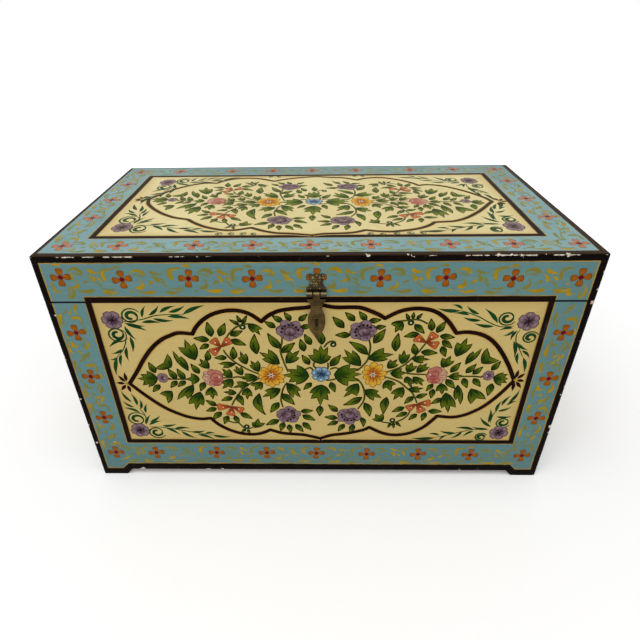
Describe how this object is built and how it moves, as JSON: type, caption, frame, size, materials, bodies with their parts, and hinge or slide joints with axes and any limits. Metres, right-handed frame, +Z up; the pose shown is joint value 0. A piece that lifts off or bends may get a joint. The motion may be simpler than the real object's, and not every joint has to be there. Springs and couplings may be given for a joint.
{
  "type": "painted wooden trunk",
  "caption": "Painted wooden storage trunk: a board box on sawn feet, a shallow lid on rear hinges and a brass hasp over a staple, with floral panels on a blue ground.",
  "frame": {"origin": "on the floor under the middle of the wooden box", "axes": "X to the right along the trunk's length, Y from the hasp side to the hinge side, Z up"},
  "size_m": [0.61, 0.3511, 0.343],
  "materials": {
    "painted_wood": "worn oil paint over white gesso: blue ground, cream panels, dark brown lines",
    "bare_wood": "plain sawn and planed softwood, aged",
    "brass": "sheet brass, dulled and darkened by age",
    "iron": "plain wire nails, dark"
  },
  "bodies": {
    "box": {"front_board": "painted_wood", "rear_board": "painted_wood", "left_end_board": "painted_wood", "right_end_board": "painted_wood", "bottom_board": "bare_wood", "front_cleat": "bare_wood", "rear_cleat": "bare_wood", "left_cleat": "bare_wood", "right_cleat": "bare_wood", "corner_nails": "iron", "cleat_nails": "iron", "bottom_nails": "iron", "staple": "brass", "left_hinge_box_leaf": "brass", "right_hinge_box_leaf": "brass", "left_hinge_pin": "brass", "right_hinge_pin": "brass", "hinge_box_nails": "brass"},
    "lid": {"lid_top_board": "painted_wood", "lid_front_rail": "painted_wood", "lid_rear_rail": "painted_wood", "lid_left_rail": "painted_wood", "lid_right_rail": "painted_wood", "lid_corner_nails": "iron", "lid_top_nails": "iron", "left_hinge_lid_leaf": "brass", "right_hinge_lid_leaf": "brass", "hinge_lid_nails": "brass", "hasp_plate": "brass", "hasp_pin": "brass", "hasp_plate_nails": "brass"},
    "hasp": {"hasp_leaf": "brass"}
  },
  "joints": [
    {"name": "lid_hinge", "type": "hinge", "parent": "box", "child": "lid", "pos_m": [0, 0.1689, 0.28635], "axis": [-1, 0, 0], "range_deg": [0, 180]},
    {"name": "hasp_swing", "type": "hinge", "parent": "lid", "child": "hasp", "pos_m": [0, -0.1687, 0.298], "axis": [-1, 0, 0], "range_deg": [-12.27, 165]}
  ]
}
